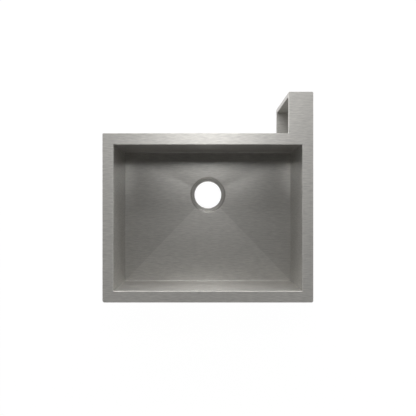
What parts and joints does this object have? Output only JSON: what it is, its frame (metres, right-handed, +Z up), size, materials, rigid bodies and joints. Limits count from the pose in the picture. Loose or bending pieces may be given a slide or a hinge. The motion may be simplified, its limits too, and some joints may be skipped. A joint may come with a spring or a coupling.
{
  "type": "undermount kitchen sink",
  "caption": "Corner kitchen sink for under a worktop: brushed steel bowl with a creased floor, flat rim, aprons at front and right, and a towel loop at the back right.",
  "frame": {"origin": "middle of the footprint of the body and its towel loop, on the base plane", "axes": "+X to the right, +Y to the back, +Z up"},
  "size_m": [0.635, 0.635, 0.254],
  "materials": {
    "brushed_stainless": "brushed left to right, satin",
    "mill_steel": "mill finish, dull",
    "zinc_steel": "zinc plated",
    "damping_pad": "matt black"
  },
  "bodies": {
    "sink": {"deck": "brushed_stainless", "bowl_floor": "brushed_stainless", "bowl_wall_back": "brushed_stainless", "bowl_wall_front": "brushed_stainless", "bowl_wall_left": "brushed_stainless", "bowl_wall_right": "brushed_stainless", "front_apron": "brushed_stainless", "side_apron": "brushed_stainless", "loop_liner": "brushed_stainless", "loop_outer_upright": "brushed_stainless", "loop_inner_upright": "brushed_stainless", "loop_bottom_bar": "brushed_stainless", "base_channel_left": "mill_steel", "base_channel_right": "mill_steel", "front_brace_left": "mill_steel", "front_brace_right": "mill_steel", "side_brace_front": "mill_steel", "side_brace_back": "mill_steel", "rim_rail_left": "mill_steel", "rim_rail_back": "mill_steel", "clamp_studs": "zinc_steel", "pad_wall_left": "damping_pad", "pad_wall_back": "damping_pad", "pad_wall_front": "damping_pad", "pad_wall_right": "damping_pad", "pad_apron_front": "damping_pad", "pad_apron_side": "damping_pad", "pad_floor_left": "damping_pad", "pad_floor_right": "damping_pad", "pad_floor_front": "damping_pad"},
    "washer_1": {"clamp_washer_1": "zinc_steel"},
    "hook_1": {"clamp_hook_1": "zinc_steel"},
    "nut_1": {"clamp_nut_1": "zinc_steel"},
    "washer_2": {"clamp_washer_2": "zinc_steel"},
    "hook_2": {"clamp_hook_2": "zinc_steel"},
    "nut_2": {"clamp_nut_2": "zinc_steel"},
    "washer_3": {"clamp_washer_3": "zinc_steel"},
    "hook_3": {"clamp_hook_3": "zinc_steel"},
    "nut_3": {"clamp_nut_3": "zinc_steel"},
    "washer_4": {"clamp_washer_4": "zinc_steel"},
    "hook_4": {"clamp_hook_4": "zinc_steel"},
    "nut_4": {"clamp_nut_4": "zinc_steel"}
  },
  "joints": [
    {"name": "clamp_1_lift", "type": "slide", "parent": "sink", "child": "washer_1", "axis": [0, 0, 1], "range_m": [0, 0.008]},
    {"name": "clamp_1_swing", "type": "hinge", "parent": "washer_1", "child": "hook_1", "pos_m": [-0.301, -0.1925, 0.211], "axis": [0, 0, 1], "range_deg": [0, 90]},
    {"name": "clamp_1_turn", "type": "hinge", "parent": "washer_1", "child": "nut_1", "pos_m": [-0.301, -0.1925, 0.211], "axis": [0, 0, 1], "range_deg": [0, 2880]},
    {"name": "clamp_2_lift", "type": "slide", "parent": "sink", "child": "washer_2", "axis": [0, 0, 1], "range_m": [0, 0.008]},
    {"name": "clamp_2_swing", "type": "hinge", "parent": "washer_2", "child": "hook_2", "pos_m": [-0.301, 0.0675, 0.211], "axis": [0, 0, -1], "range_deg": [0, 90]},
    {"name": "clamp_2_turn", "type": "hinge", "parent": "washer_2", "child": "nut_2", "pos_m": [-0.301, 0.0675, 0.211], "axis": [0, 0, 1], "range_deg": [0, 2880]},
    {"name": "clamp_3_lift", "type": "slide", "parent": "sink", "child": "washer_3", "axis": [0, 0, 1], "range_m": [0, 0.008]},
    {"name": "clamp_3_swing", "type": "hinge", "parent": "washer_3", "child": "hook_3", "pos_m": [-0.21675, 0.17525, 0.211], "axis": [0, 0, 1], "range_deg": [0, 90]},
    {"name": "clamp_3_turn", "type": "hinge", "parent": "washer_3", "child": "nut_3", "pos_m": [-0.21675, 0.17525, 0.211], "axis": [0, 0, 1], "range_deg": [0, 2880]},
    {"name": "clamp_4_lift", "type": "slide", "parent": "sink", "child": "washer_4", "axis": [0, 0, 1], "range_m": [0, 0.008]},
    {"name": "clamp_4_swing", "type": "hinge", "parent": "washer_4", "child": "hook_4", "pos_m": [0.14325, 0.17525, 0.211], "axis": [0, 0, -1], "range_deg": [0, 90]},
    {"name": "clamp_4_turn", "type": "hinge", "parent": "washer_4", "child": "nut_4", "pos_m": [0.14325, 0.17525, 0.211], "axis": [0, 0, 1], "range_deg": [0, 2880]}
  ],
  "couplings": [
    {"joint": "clamp_1_lift", "follows": "clamp_1_turn", "m_per_rad": 0.00015915},
    {"joint": "clamp_2_lift", "follows": "clamp_2_turn", "m_per_rad": 0.00015915},
    {"joint": "clamp_3_lift", "follows": "clamp_3_turn", "m_per_rad": 0.00015915},
    {"joint": "clamp_4_lift", "follows": "clamp_4_turn", "m_per_rad": 0.00015915}
  ]
}
